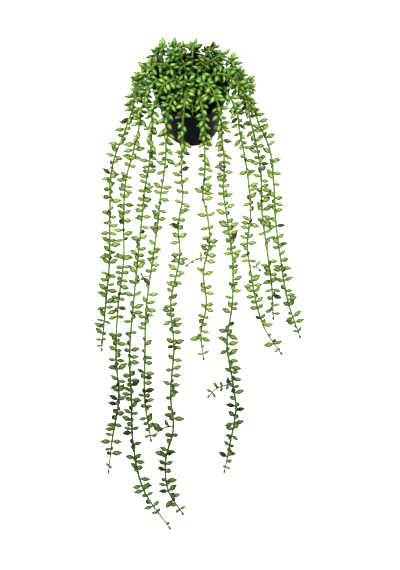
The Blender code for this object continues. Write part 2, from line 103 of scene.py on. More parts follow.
def polar(radius: float, degrees: float, height: float) -> Vector:
    """Finds a point at a distance from the pot's axis.

    Args:
        radius: the distance from the axis.
        degrees: the angle from +X.
        height: the height above the surface.

    Returns:
        The point.
    """
    turn = math.radians(degrees)
    return Vector((radius * math.cos(turn), radius * math.sin(turn), height))


def add_node(tree: bpy.types.NodeTree, kind: str | bpy.types.Node, settings: dict | None = None,
             links: dict | None = None, out: str = "") -> bpy.types.NodeSocket:
    """Adds a shader node with its settings and links.

    Args:
        tree: the node tree.
        kind: the kind of node, without the start that all shader nodes share, or a node that is there.
        settings: values of its properties, or of its inputs by name or number, with colours as hex codes.
            "stops" sets a ramp's places and colours, and "span" the inputs after the first, in turn.
        links: the sockets that feed its inputs, by name or number.
        out: the name of the output that is wanted, or nothing for the first in use.

    Returns:
        That output.
    """
    node = tree.nodes.new("ShaderNode" + kind) if isinstance(kind, str) else kind
    for key, value in (settings or {}).items():
        if key == "stops":
            elements = node.color_ramp.elements
            while len(elements) < len(value):
                elements.new(1.0)
            for element, (position, colour) in zip(elements, value):
                element.position, element.color = position, linear(colour)
        elif key == "span":
            for number, part in enumerate(value, 1):
                node.inputs[number].default_value = part
        elif isinstance(key, str) and hasattr(node, key):
            setattr(node, key, value)
        else:
            node.inputs[key].default_value = linear(value) if isinstance(value, str) else value
    for key, socket in (links or {}).items():
        tree.links.new(socket, node.inputs[key])
    return node.outputs[out] if out else next(socket for socket in node.outputs if socket.enabled)


def new_material(name: str, *layers: Layer) -> tuple:
    """Starts a material, with its surface shader alone.

    Args:
        name: the material's name.
        layers: the mesh's values that it reads.

    Returns:
        The material, the function that adds a node to it, its surface shader, the place on the piece, and
        each layer's value.
    """
    made = bpy.data.materials.new(name)
    made.use_nodes = True
    add = partial(add_node, made.node_tree)
    values = [add("Attribute", {"attribute_name": layer.value}, out="Fac") for layer in layers]
    return made, add, made.node_tree.nodes["Principled BSDF"], add("TexCoord", out="Object"), *values


@dataclass(frozen=True)
class LeafSkin:
    """A succulent leaf, grown: smooth skin under thin wax, over juicy flesh. The eye sees a soft gloss, a
    clear window along the upper face that is made pale over the belly as painted light on the leaf's top, a
    pale foot and a dark, dry point. A few leaves are painted near black as painted shade, and the crown's
    leaves a bluer green with height as painted shade."""

    name: str = "waxy_leaf_skin"
    foot: str = "#6A8C3A"
    flesh: str = "#2A4910"
    window: str = "#9AB05E"
    point: str = "#151C06"
    aged: str = "#5A4E1C"
    # a near-black green, painted shade for leaves that lie in shadow
    dark: str = "#16240A"
    # shares of the leaf's length: where its foot ends, its flesh starts and ends, and its point is
    places: tuple = (0.10, 0.30, 0.80, 0.96)
    # from the pot to the far ends: the share of the window, which is also painted light on the leaf's top,
    # the lightness, and what is added to the hue
    clearing: Span = (0.92, 0.60)
    shading: Span = (1.13, 0.68)
    far_hue: float = 0.018
    # from leaf to leaf, by tone: the tones that age it or paint shade on it and how far, its lightness, and
    # its own hue
    aging: tuple = (0.88, 1.0, 0.0, 0.3)
    painted_shade_darkening: tuple = (0.08, 0.03, 0.0, 0.75)
    lightness: Span = (0.80, 1.16)
    own_hue: Span = (0.484, 0.510)
    tone_mix: float = 7.31
    # painted shade: a bluer hue is added with the height, where the crown's leaves shade one another
    crown_shade_hue: tuple = (0.045, 0.080, 0.0, 0.022)
    mottle: float = 0.0011
    mottling: tuple = (0.3, 0.7, 0.86, 1.12)
    gloss: Span = (0.38, 0.54)
    pores: float = 0.00035

    def make(self) -> bpy.types.Material:
        """Makes the material, in green that differs from leaf to leaf.

        Returns:
            The material.
        """
        made, add, shader, place, along, window, tone, depth = new_material(
            self.name, Layer.ALONG, Layer.WINDOW, Layer.TONE, Layer.DEPTH)
        stops = tuple(zip(self.places, (self.foot, self.flesh, self.flesh, self.point)))
        colour = add("ValToRGB", {"stops": stops}, {0: along})
        # the pale window on the upper face is partly real and partly painted light on the leaf's top
        opened = add("MapRange", {"span": (0, 1, *self.clearing)}, {0: depth})
        clear = add("Math", {"operation": "MULTIPLY"}, {0: opened, 1: window})
        age = add("MapRange", {"span": self.aging}, {0: tone})
        # painted shade: the leaves of the lowest tones turn towards near black
        deep = add("MapRange", {"span": self.painted_shade_darkening}, {0: tone})
        # over the flesh: the window with its painted top light, the aged tint, and the painted shade of the
        # darkest leaves
        for share, laid in ((clear, self.window), (age, self.aged), (deep, self.dark)):
            colour = add("Mix", {"data_type": "RGBA", 7: laid}, {0: share, 6: colour})
        # mottles of about a millimetre, drawn a little coarser than real ones so that they show
        blotch = add("TexNoise", {"Scale": 1 / self.mottle, "Detail": 3.0}, {0: place})
        spread = add("Math", {"operation": "MULTIPLY", 1: self.tone_mix}, {0: tone})
        other = add("Math", {"operation": "FRACT"}, {0: spread})
        hue = add("MapRange", {"span": (0, 1, *self.own_hue)}, {0: other})
        hue = add("Math", {"operation": "MULTIPLY_ADD", 1: self.far_hue}, {0: depth, 2: hue})
        # painted shade: the crown's leaves turn a bluer green with height
        height = add("SeparateXYZ", links={0: place}, out="Z")
        painted_crown_shade = add("MapRange", {"span": self.crown_shade_hue}, {0: height})
        hue = add("Math", {"operation": "ADD"}, {0: hue, 1: painted_crown_shade})
        value = add("MapRange", {"span": (0, 1, *self.lightness)}, {0: tone})
        shade = add("MapRange", {"span": (0, 1, *self.shading)}, {0: depth})
        mottled = add("MapRange", {"span": self.mottling}, {0: blotch})
        for factor in (shade, mottled):
            value = add("Math", {"operation": "MULTIPLY"}, {0: value, 1: factor})
        green = add("HueSaturation", links={"Hue": hue, "Value": value, "Color": colour})
        gloss = add("MapRange", {"span": (0, 1, *self.gloss)}, {0: blotch})
        skin = add("TexNoise", {"Scale": 1 / self.pores, "Detail": 2.0}, {0: place})
        bump = add("Bump", {"Strength": 0.25, "Distance": 0.00006}, {"Height": skin})
        add(shader, {"IOR": 1.42, "Specular IOR Level": 0.3, "Subsurface Weight": 0.14,
                     "Subsurface Radius": (0.8, 1.0, 0.3), "Subsurface Scale": 0.0012},
            {"Base Color": green, "Roughness": gloss, "Normal": bump})
        return made


@dataclass(frozen=True)
class StemSkin:
    """A young stem, grown: pale green skin with fine ridges, browned where it has dried in the light."""

    name: str = "ridged_stem_skin"
    green: str = "#74964A"
    shade: str = "#587838"
    deep: str = "#35541F"
    brown: str = "#54462A"
    blotch: float = 0.004
    blotching: tuple = (0.35, 0.65, 0.0, 1.0)
    gloss: Span = (0.42, 0.62)
    ridge: float = 0.0005

    def make(self) -> bpy.types.Material:
        """Makes the material. The layer for wear says how far a place has browned.

        Returns:
            The material.
        """
        made, add, shader, place, dry, depth = new_material(self.name, Layer.WEAR, Layer.DEPTH)
        patch = add("TexNoise", {"Scale": 1 / self.blotch, "Detail": 4.0}, {0: place})
        shaded = add("MapRange", {"span": self.blotching}, {0: patch})
        colour = add("Mix", {"data_type": "RGBA", 6: self.green, 7: self.shade}, {0: shaded})
        for share, laid in ((depth, self.deep), (dry, self.brown)):
            colour = add("Mix", {"data_type": "RGBA", 7: laid}, {0: share, 6: colour})
        gloss = add("MapRange", {"span": (0, 1, *self.gloss)}, {0: patch})
        ridges = add("TexNoise", {"Scale": 1 / self.ridge, "Detail": 2.0}, {0: place})
        bump = add("Bump", {"Strength": 0.4, "Distance": 0.0001}, {"Height": ridges})
        add(shader, {"IOR": 1.45, "Specular IOR Level": 0.3, "Subsurface Weight": 0.08,
                     "Subsurface Radius": (0.8, 1.0, 0.3), "Subsurface Scale": 0.0008},
            {"Base Color": colour, "Roughness": gloss, "Normal": bump})
        return made


@dataclass(frozen=True)
class MouldedPolypropylene:
    """Black polypropylene, injection moulded: a satin skin with a fine grain and faint upright draw marks,
    paler where the lip and foot are rubbed, and with a breath of dust low on the wall."""

    name: str = "moulded_black_polypropylene"
    black: str = "#060507"
    rubbed: str = "#19181B"
    dust: str = "#3A3732"
    grain: float = 0.00045
    draw_mark: float = 0.0012
    # draw marks run up the wall, so their pattern is stretched forty times along the height
    stretch: tuple = (1.0, 1.0, 0.025)
    rubbing: tuple = (0.25, 0.75, 0.0, 0.6)
    dusting: tuple = (0.0, 0.018, 0.14, 0.02)
    gloss: tuple = (0.3, 0.7, 0.32, 0.48)

    def make(self) -> bpy.types.Material:
        """Makes the material.

        Returns:
            The material.
        """
        made, add, shader, place, wear = new_material(self.name, Layer.WEAR)
        speck = add("TexNoise", {"Scale": 1 / self.grain, "Detail": 3.0}, {0: place})
        drawn = add("Mapping", {"Scale": self.stretch}, {0: place})
        marks = add("TexNoise", {"Scale": 1 / self.draw_mark, "Detail": 2.0}, {0: drawn})
        patchy = add("Math", {"operation": "MULTIPLY"}, {0: wear, 1: speck})
        rub = add("MapRange", {"span": self.rubbing}, {0: patchy})
        worn = add("Mix", {"data_type": "RGBA", 6: self.black, 7: self.rubbed}, {0: rub})
        height = add("SeparateXYZ", links={0: place}, out="Z")
        low = add("MapRange", {"span": self.dusting}, {0: height})
        film = add("Math", {"operation": "MULTIPLY"}, {0: low, 1: marks})
        dusty = add("Mix", {"data_type": "RGBA", 7: self.dust}, {0: film, 6: worn})
        gloss = add("MapRange", {"span": self.gloss}, {0: marks})
        relief = add("Math", {"operation": "ADD"}, {0: speck, 1: marks})
        bump = add("Bump", {"Strength": 0.3, "Distance": 0.00008}, {"Height": relief})
        add(shader, {"IOR": 1.49, "Specular IOR Level": 0.04},
            {"Base Color": dusty, "Roughness": gloss, "Normal": bump})
        return made


@dataclass(frozen=True)
class PeatAndBark:
    """Potting mix, sieved: dark moist peat with fibres and crumbs of bark. It hardly shines, and each crumb
    has its own brown."""

    name: str = "peat_and_bark"
    peat: str = "#1A120C"
    soil: str = "#33241A"
    bark: str = "#5B4430"
    fleck: float = 0.0015
    fibre: float = 0.0004

    def make(self) -> bpy.types.Material:
        """Makes the material.

        Returns:
            The material.
        """
        made, add, shader, place, tone = new_material(self.name, Layer.TONE)
        fleck = add("TexNoise", {"Scale": 1 / self.fleck, "Detail": 5.0}, {0: place})
        share = add("Math", {"operation": "MULTIPLY"}, {0: tone, 1: fleck})
        stops = (0.08, self.peat), (0.30, self.soil), (0.62, self.bark)
        brown = add("ValToRGB", {"stops": stops}, {0: share})
        fibre = add("TexNoise", {"Scale": 1 / self.fibre, "Detail": 4.0}, {0: place})
        bump = add("Bump", {"Strength": 0.8, "Distance": 0.0003}, {"Height": fibre})
        add(shader, {"Roughness": 0.93, "IOR": 1.4}, {"Base Color": brown, "Normal": bump})
        return made


@dataclass(frozen=True)
class LitAcrylic:
    """The studio's light table, cast acrylic: opal and matt, and lit from below, so that it stays white
    around the plant and takes hardly any shadow."""

    name: str = "opal_acrylic"
    light: str = "#A2A2A1"
    cloud: str = "#9C9C9B"
    cloud_size: float = 0.25
    glow: str = "#FFFFFF"
    glow_strength: float = 0.8

    def make(self) -> bpy.types.Material:
        """Makes the material.

        Returns:
            The material.
        """
        made, add, shader, place = new_material(self.name)
        cloud = add("TexNoise", {"Scale": 1 / self.cloud_size, "Detail": 2.0}, {0: place})
        tint = add("Mix", {"data_type": "RGBA", 6: self.light, 7: self.cloud}, {0: cloud})
        add(shader, {"Roughness": 0.9, "Specular IOR Level": 0.1, "Emission Color": self.glow,
                     "Emission Strength": self.glow_strength}, {"Base Color": tint})
        return made


def placed(name: str, data: bpy.types.ID) -> bpy.types.Object:
    """Puts an object into the scene.

    Args:
        name: its name.
        data: its mesh, lamp or lens.

    Returns:
        The object.
    """
    made = bpy.data.objects.new(name, data)
    bpy.context.scene.collection.objects.link(made)
    return made


def ellipse(sides: int, wide: Sequence[float], thick: Sequence[float]) -> np.ndarray:
    """Lays corners round an ellipse.

    Args:
        sides: the number of corners.
        wide: its half width, as a vector.
        thick: its half thickness, as a vector.

    Returns:
        The corners from its middle, one row each.
    """
    turns = np.arange(sides)[:, None] * math.tau / sides
    return np.cos(turns) * np.array(wide) + np.sin(turns) * np.array(thick)


class Form:
    """A mesh in the making: closed tubes and lumps, each with its finish and its values for each point."""

    def __init__(self) -> None:
        """Starts an empty mesh."""
        self.count = 0
        self.points: list[np.ndarray] = []
        self.faces: list[tuple[int, ...]] = []
        self.finishes: list[int] = []
        self.values: dict[Layer, list[np.ndarray]] = {layer: [] for layer in Layer}

    def add(self, points: np.ndarray, faces: list[tuple[int, ...]], finish: int,
            values: dict[Layer, np.ndarray | float]) -> None:
        """Adds a closed body.

        Args:
            points: its points, one row each.
            faces: its faces, as rows of its own points.
            finish: the number of its material.
            values: a value for each of its points, or one for all. A layer that isn't named gets 0.
        """
        self.points.append(points)
        self.faces += [tuple(self.count + n for n in face) for face in faces]
        self.finishes += [finish] * len(faces)
        for layer, rows in self.values.items():
            rows.append(np.broadcast_to(np.asarray(values.get(layer, 0.0), float), len(points)))
        self.count += len(points)

    def tube(self, rings: np.ndarray, start: Vector, end: Vector, finish: int,
             values: dict[Layer, np.ndarray]) -> None:
        """Adds a tube of rings that is closed to a point at each end.

        Args:
            rings: ring by ring, the corners that run round the way from start to end.
            start: the point before the first ring.
            end: the point after the last ring.
            finish: the number of its material.
            values: for each layer, a value for each corner of each ring.
        """
        count, sides = rings.shape[:2]
        points = np.vstack([rings.reshape(-1, 3), [tuple(start), tuple(end)]])
        first, last = count * sides, count * sides + 1
        faces: list[tuple[int, ...]] = []
        for side in range(sides):
            after = (side + 1) % sides
            faces.append((first, after, side))
            faces += [(row + side, row + after, row + sides + after, row + sides + side)
                      for row in range(0, (count - 1) * sides, sides)]
            faces.append((last, (count - 1) * sides + side, (count - 1) * sides + after))
        spread = {layer: np.concatenate([rows.ravel(), [rows[0].mean(), rows[-1].mean()]])
                  for layer, rows in values.items()}
        self.add(points, faces, finish, spread)

    def made(self, name: str, *finishes: bpy.types.Material) -> bpy.types.Object:
        """Turns what was gathered into an object.

        Args:
            name: the piece's name.
            finishes: its materials, in the order of their numbers.

        Returns:
            The object, in the scene.
        """
        mesh = bpy.data.meshes.new(name)
        mesh.from_pydata(np.vstack(self.points), [], self.faces)
        mesh.polygons.foreach_set("material_index", self.finishes)
        mesh.shade_smooth()
        for layer, rows in self.values.items():
            mesh.attributes.new(layer.value, "FLOAT", "POINT").data.foreach_set("value", np.concatenate(rows))
        for finish in finishes:
            mesh.materials.append(finish)
        mesh.update()
        return placed(name, mesh)


def settle_piece(piece: bpy.types.Object, node: str, slot: Slot) -> None:
    """Lets a piece stand for its solid, and reports it.

    Args:
        piece: the finished piece.
        node: the solid that it replaces.
        slot: the material slot of its solid; not used.
    """
    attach(piece, BODY)
    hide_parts(node)
    triangles = sum(len(face.vertices) - 2 for face in piece.data.polygons)
    LOG.info("%s stands for %s with %d triangles", piece.name, node, triangles)


def rounded(corners: list[tuple[float, float, float]], steps: int, most: float) -> list[Span]:
    """Rounds the corners of a profile and fills its long spans with points.

    Args:
        corners: radius, height and rounding of each corner.
        steps: the number of spans in a rounded corner.
        most: the longest span.

    Returns:
        The profile's points as radius and height.
    """
    spots = [Vector(corner[:2]) for corner in corners]
    arcs = [spots[0]]
    for before, here, after, corner in zip(spots, spots[1:], spots[2:], corners[1:]):
        start, end = (here + (other - here).normalized() * corner[2] for other in (before, after))
        for t in np.linspace(0, 1, steps + 1).tolist():
            arcs.append(start * (1 - t) ** 2 + here * 2 * t * (1 - t) + end * t**2)
    arcs.append(spots[-1])
    filled = [tuple(arcs[0])]
    for a, b in zip(arcs, arcs[1:]):
        spans = max(1, math.ceil((b - a).length / most))
        filled += [tuple(a.lerp(b, (n + 1) / spans)) for n in range(spans)]
    return filled


def revolved(profile: list[Span], sides: int) -> np.ndarray:
    """Turns a profile round the pot's axis.

    Args:
        profile: points as radius and height.
        sides: the number of sides.

    Returns:
        The rings' corners.
    """
    radii, heights = (np.array(column)[:, None, None] for column in zip(*profile))
    return radii * ellipse(sides, (1, 0, 0), (0, 1, 0)) + heights * np.array((0, 0, 1))


@dataclass
class Pot:
    """The tapered nursery pot with a stepped collar, a rounded lip and drain holes."""

    height: float = 0.080
    rim_radius: float = 0.045
    base_radius: float = 0.031
    wall_top_radius: float = 0.0436
    wall: float = 0.0018
    collar: float = 0.010
    lip: float = 0.0008
    floor: float = 0.0022
    drain_holes: int = 6
    drain_radius: float = 0.003
    drain_circle: float = 0.019
    sides: int = 144
    corner_steps: int = 4
    longest_span: float = 0.003
    rubbed_width: float = 0.0013
    drain_sides: int = 32
    sharp_over: float = 50

    def wall_radius(self, height: float) -> float:
        """The outer radius below the collar."""
        return self.base_radius + (self.wall_top_radius - self.base_radius) * height / self.height

    def profile(self) -> tuple[list[Span], list[Vector]]:
        """Draws the wall's profile.

        Returns:
            Its points from the underside round to the floor inside, and the edges that get rubbed.
        """
        step = self.height - self.collar
        inner_top = self.rim_radius - self.wall - (self.rim_radius - self.wall_top_radius) / 2
        corners = [
            (self.base_radius / 2, 0.0, 0.0),
            (self.base_radius, 0.0, self.lip),
            (self.wall_radius(step), step, self.lip),
            (self.rim_radius - self.lip / 4, step + self.lip / 2, self.lip),
            (self.rim_radius, self.height, self.lip),
            (inner_top, self.height, self.lip / 2),
            (self.wall_radius(step) - self.wall, step - self.lip, self.lip),
            (self.wall_radius(self.floor) - self.wall, self.floor, self.lip),
            (self.base_radius / 2, self.floor, 0.0),
        ]
        rubbed = [Vector(corners[n][:2]) for n in (1, 3, 4, 5)]
        return rounded(corners, self.corner_steps, self.longest_span), rubbed

    def drained(self, piece: bpy.types.Object) -> None:
        """Cuts the drain holes and keeps the result as the piece's mesh.

        Args:
            piece: the pot without its holes.
        """
        bm = bmesh.new()
        for n in range(self.drain_holes):
            place = polar(self.drain_circle, 360 * n / self.drain_holes, 0)
            bmesh.ops.create_cone(bm, cap_ends=True, segments=self.drain_sides, radius1=self.drain_radius,
                                  radius2=self.drain_radius, depth=4 * self.floor,
                                  matrix=Matrix.Translation(place))
        mesh = bpy.data.meshes.new("drain_cutters")
        bm.to_mesh(mesh)
        bm.free()
        cutters = placed("drain_cutters", mesh)
        boolean = piece.modifiers.new("drain", "BOOLEAN")
        boolean.operation, boolean.solver, boolean.object = "DIFFERENCE", "EXACT", cutters
        view = bpy.context.evaluated_depsgraph_get()
        piece.data = bpy.data.meshes.new_from_object(piece.evaluated_get(view))
        piece.modifiers.clear()
        bpy.data.objects.remove(cutters)

    def build(self) -> None:
        """Builds the pot and dresses it."""
        profile, rubbed = self.profile()
        wear = [[max(math.exp(-((Vector(spot) - edge).length / self.rubbed_width) ** 2) for edge in rubbed)]
                for spot in profile]
        form = Form()
        form.tube(revolved(profile, self.sides), Vector((0, 0, 0)), Vector((0, 0, self.floor)), 0,
                  {Layer.WEAR: np.repeat(wear, self.sides, axis=1)})
        piece = form.made("moulded_pot", MouldedPolypropylene().make())
        self.drained(piece)
        piece.data.set_sharp_from_angle(angle=math.radians(self.sharp_over))
        settle_piece(piece, "pot", Slot.POT)


@dataclass
class Mix:
    """The potting mix: a tapered plug with a bumpy top, strewn with crumbs of peat and chips of bark."""

    pot: Pot
    gap: float = 0.0003
    edge: float = 0.0690
    crown: float = 0.0020
    bump: float = 0.0005
    # frequency and start of the bumps' waves across and along
    waves: tuple[Span, Span] = ((420, 1.0), (380, -0.6))
    clod: float = 0.0045
    clod_rise: float = 0.0011
    clod_noise: tuple = (0.8, 2.2, 4)
    clod_level: float = 0.3
    sides: int = 96
    rings: int = 36
    plug_tone: float = 0.55
    crumbs: int = 900
    crumb_sizes: Span = (0.0005, 0.0017)
    crumb_shares: Span = (0.6, 1.0)
    crumb_rise: float = 0.25
    crumb_tones: Span = (0.25, 1.5)
    stretches: tuple[Span, ...] = ((0.6, 1.5), (0.6, 1.2), (0.5, 1.0))
    unevenness: Span = (0.75, 1.25)
    seed: int = 4

    def top(self, x: float, y: float) -> float:
        """Finds the height of the mix, a low dome with gentle bumps.

        Args:
            x: how far the place is across.
            y: how far it is along.

        Returns:
            The height.
        """
        share = (x * x + y * y) / self.pot.wall_top_radius**2
        (across, first), (along, second) = self.waves
        bumps = math.sin(across * x + first) * math.cos(along * y + second)
        return self.edge + self.crown * (1 - share) + self.bump * bumps

    def rough_top(self, x: float, y: float) -> float:
        """The height of the mix with its clods."""
        clods = noise.fractal(Vector((x, y, 0)) / self.clod, *self.clod_noise)
        return self.top(x, y) + self.clod_rise * (clods - self.clod_level) / 2

    def plug(self, form: Form) -> None:
        """Adds the plug with its cloddy top.

        Args:
            form: the mesh in the making.
        """
        floor = self.pot.floor + self.gap
        low = self.pot.wall_radius(floor) - self.pot.wall - self.gap
        outer = self.pot.wall_radius(self.edge) - self.pot.wall - 2 * self.gap
        profile = [(low, floor), (outer, self.edge - self.clod_rise)]
        profile += [(outer * n / self.rings, self.edge) for n in range(self.rings, 0, -1)]
        rings = revolved(profile, self.sides)
        for spot in rings[2:].reshape(-1, 3):
            spot[2] = self.rough_top(*spot[:2])
        top = Vector((0, 0, self.rough_top(0, 0)))
        tone = np.full(rings.shape[:2], self.plug_tone)
        form.tube(rings, Vector((0, 0, floor)), top, 0, {Layer.TONE: tone})

    def strewn(self, form: Form) -> None:
        """Adds the crumbs and chips, each a sunk, uneven lump.

        Args:
            form: the mesh in the making.
        """
        rng = random.Random(self.seed)
        lump = bmesh.new()
        bmesh.ops.create_icosphere(lump, subdivisions=1, radius=1.0)
        shape = np.array([tuple(vertex.co) for vertex in lump.verts])
        faces = [tuple(vertex.index for vertex in face.verts) for face in lump.faces]
        lump.free()
        reach = self.pot.wall_radius(self.edge) - self.pot.wall - self.crumb_sizes[1]
        for _ in range(self.crumbs):
            size = rng.uniform(*self.crumb_sizes) * rng.uniform(*self.crumb_shares)
            place = polar(reach * math.sqrt(rng.random()), rng.uniform(0, 360), 0)
            place.z = self.rough_top(place.x, place.y) + size * self.crumb_rise
            stretch = np.array([rng.uniform(*span) for span in self.stretches])
            uneven = np.array([[rng.uniform(*self.unevenness)] for _ in shape])
            turn = Matrix.Rotation(rng.uniform(0, math.tau), 3, Vector((rng.random(), rng.random(), 1)))
            points = (shape * uneven * stretch * size) @ np.array(turn).T + np.array(place)
            form.add(points, faces, 0, {Layer.TONE: rng.uniform(*self.crumb_tones)})

    def build(self) -> None:
        """Builds the mix and dresses it."""
        form = Form()
        self.plug(form)
        self.strewn(form)
        settle_piece(form.made("crumbly_mix", PeatAndBark().make()), "soil", Slot.MIX)

    def room(self, point: Vector) -> float:
        """How far a point is from the pot's wall and the mix, or less than 0 inside.

        Args:
            point: the point.

        Returns:
            The distance.
        """
        pot, out = self.pot, point.xy.length
        free = FAR
        if out < pot.wall_top_radius and point.z < pot.height + pot.wall_top_radius:
            free = point.z - self.edge - self.crown
        low = Vector((pot.base_radius - pot.wall / 2, 0))
        high = Vector((pot.rim_radius - pot.wall, pot.height - pot.wall))
        spot, rise = Vector((out, point.z)), high - low
        share = min(1.0, max(0.0, (spot - low).dot(rise) / rise.length_squared))
        return min(free, (spot - low - rise * share).length - pot.wall)


@dataclass(frozen=True)
class Flush:
    """A flush of leaves: how many grow at a node, their sizes, how small they get at the tip, the gap that
    they keep, how slim they count for that gap, how far apart their nodes are, and the seed of the draws."""

    counts: tuple[int, ...]
    sizes: Span
    tip_shrink: float
    clearance: float
    slimness: float
    spacing: float
    crown_spacing: float
    crown_floor: float
    seed: int

    def step(self, height: float) -> float:
        """The distance between nodes, which are closer together in the crown."""
        return self.crown_spacing if height > self.crown_floor else self.spacing


@dataclass(frozen=True)
class Leaf:
    """A leaf's direction and its size against a full leaf."""

    way: Vector
    scale: float


@dataclass
class Stem:
    """A stem: its centreline, the frame carried along it, the length of stem before it, its number in the
    crowd, its leaves by sample, and its side shoots."""

    name: str
    points: list[Vector]
    side: Vector | None = None
    radius: float = 0.0012
    tip_radius: float = 0.0007
    tip_zone: float = 0.060
    before: float = 0.0
    number: int = 0
    tangents: list[Vector] = field(init=False)
    sides: list[Vector] = field(init=False, default_factory=list)
    nodes: dict[int, list[Leaf]] = field(default_factory=dict)
    branches: list[tuple[int, "Stem"]] = field(default_factory=list)

    def __post_init__(self) -> None:
        """Carries a frame along the centreline with as little twist as it can have."""
        last = len(self.points) - 1
        around = [(self.points[max(n - 1, 0)], self.points[min(n + 1, last)]) for n in range(last + 1)]
        self.tangents = [(after - before).normalized() for before, after in around]
        side = self.side or self.tangents[0].orthogonal()
        for tangent in self.tangents:
            side = (side - tangent * side.dot(tangent)).normalized()
            self.sides.append(side)

    def left(self, place: int) -> float:
        """The length of stem beyond a sample."""
        return (len(self.points) - 1 - place) * STEP

    def width(self, place: int) -> float:
        """The half width at a sample, which tapers in the last stretch."""
        share = min(1.0, self.left(place) / self.tip_zone)
        return self.tip_radius + (self.radius - self.tip_radius) * share

    def frame(self, place: int) -> tuple[Vector, Vector, Vector]:
        """Tangent, side and up at a sample."""
        tangent, side = self.tangents[place], self.sides[place]
        return tangent, side, tangent.cross(side)

    def leaf_count(self) -> int:
        """The number of its leaves."""
        return sum(len(leaves) for leaves in self.nodes.values())

    def forks(self, place: int, room: float) -> bool:
        """Whether a side shoot leaves the stem within a distance of a sample."""
        return any(abs(place - fork) < room / STEP for fork, _ in self.branches)


@dataclass
class Crowd:
    """What is already there: the pot and its mix, and balls along every stem and leaf, so that new leaves
    keep clear of them. A leaf may touch its own stem a little way to each side. Its lowest ball keeps a share
    of its radius over the surface."""

    mix: Mix
    own_stem: float = 0.006
    lowest: float = 0.72
    centres: np.ndarray = field(default_factory=lambda: np.zeros((0, 3)))
    radii: np.ndarray = field(default_factory=lambda: np.zeros(0))
    stems: np.ndarray = field(default_factory=lambda: np.zeros((0, 2)))

    def add(self, centres: list[Vector], radii: list[float], stem: list[tuple[int, int]]) -> None:
        """Adds balls.

        Args:
            centres: their centres.
            radii: their radii.
            stem: for each, its stem's number and sample, or (-1, 0) for a ball of a leaf.
        """
        self.centres = np.vstack([self.centres, [tuple(centre) for centre in centres]])
        self.radii = np.append(self.radii, radii)
        self.stems = np.vstack([self.stems, stem])

    def room(self, centres: list[Vector], radii: list[float], stem: Stem, place: int,
             slimness: float) -> float:
        """Finds the least gap from balls to the crowd, the pot, the mix and the surface.

        Args:
            centres: the balls' centres.
            radii: the balls' radii.
            stem: the stem that they grow on.
            place: the sample that they grow at.
            slimness: how slim the balls are against their leaf.

        Returns:
            The least gap.
        """
        own = (self.stems[:, 0] == stem.number) & (np.abs(self.stems[:, 1] - place) < self.own_stem / STEP)
        least, lowest = FAR, self.lowest / slimness
        for centre, radius in zip(centres, radii):
            gaps = np.linalg.norm(self.centres - np.array(centre), axis=1) - self.radii - radius
            gaps[own] = FAR
            least = min(least, gaps.min(), centre.z - lowest * radius, self.mix.room(centre) - radius)
        return least


def through(points: list[Vector]) -> list[Vector]:
    """Draws a smooth curve through points.

    Args:
        points: the points.

    Returns:
        The curve, sampled at each step of its length.
    """
    spans = [(b - a).length for a, b in zip(points, points[1:])]
    slopes = [(points[1] - points[0]) / spans[0]]
    for n in range(1, len(spans)):
        before, after = spans[n - 1], spans[n]
        rise = (points[n] - points[n - 1]) / before * after + (points[n + 1] - points[n]) / after * before
        if (points[n].z - points[n - 1].z) * (points[n + 1].z - points[n].z) <= 0:
            rise.z = 0
        slopes.append(rise / (before + after))
    slopes.append((points[-1] - points[-2]) / spans[-1])
    fine = []
    for a, b, start, end, span in zip(points, points[1:], slopes, slopes[1:], spans):
        for n in range(CURVE_PARTS):
            t = n / CURVE_PARTS
            fine.append(a * (2 * t**3 - 3 * t**2 + 1) + b * (3 * t**2 - 2 * t**3)
                        + start * span * (t**3 - 2 * t**2 + t) + end * span * (t**3 - t**2))
    fine.append(points[-1])
    sampled, left = [fine[0]], STEP
    for a, b in zip(fine, fine[1:]):
        length, done = (b - a).length, 0.0
        while length - done >= left:
            done += left
            left = STEP
            sampled.append(a.lerp(b, done / length))
        left -= length - done
    return sampled


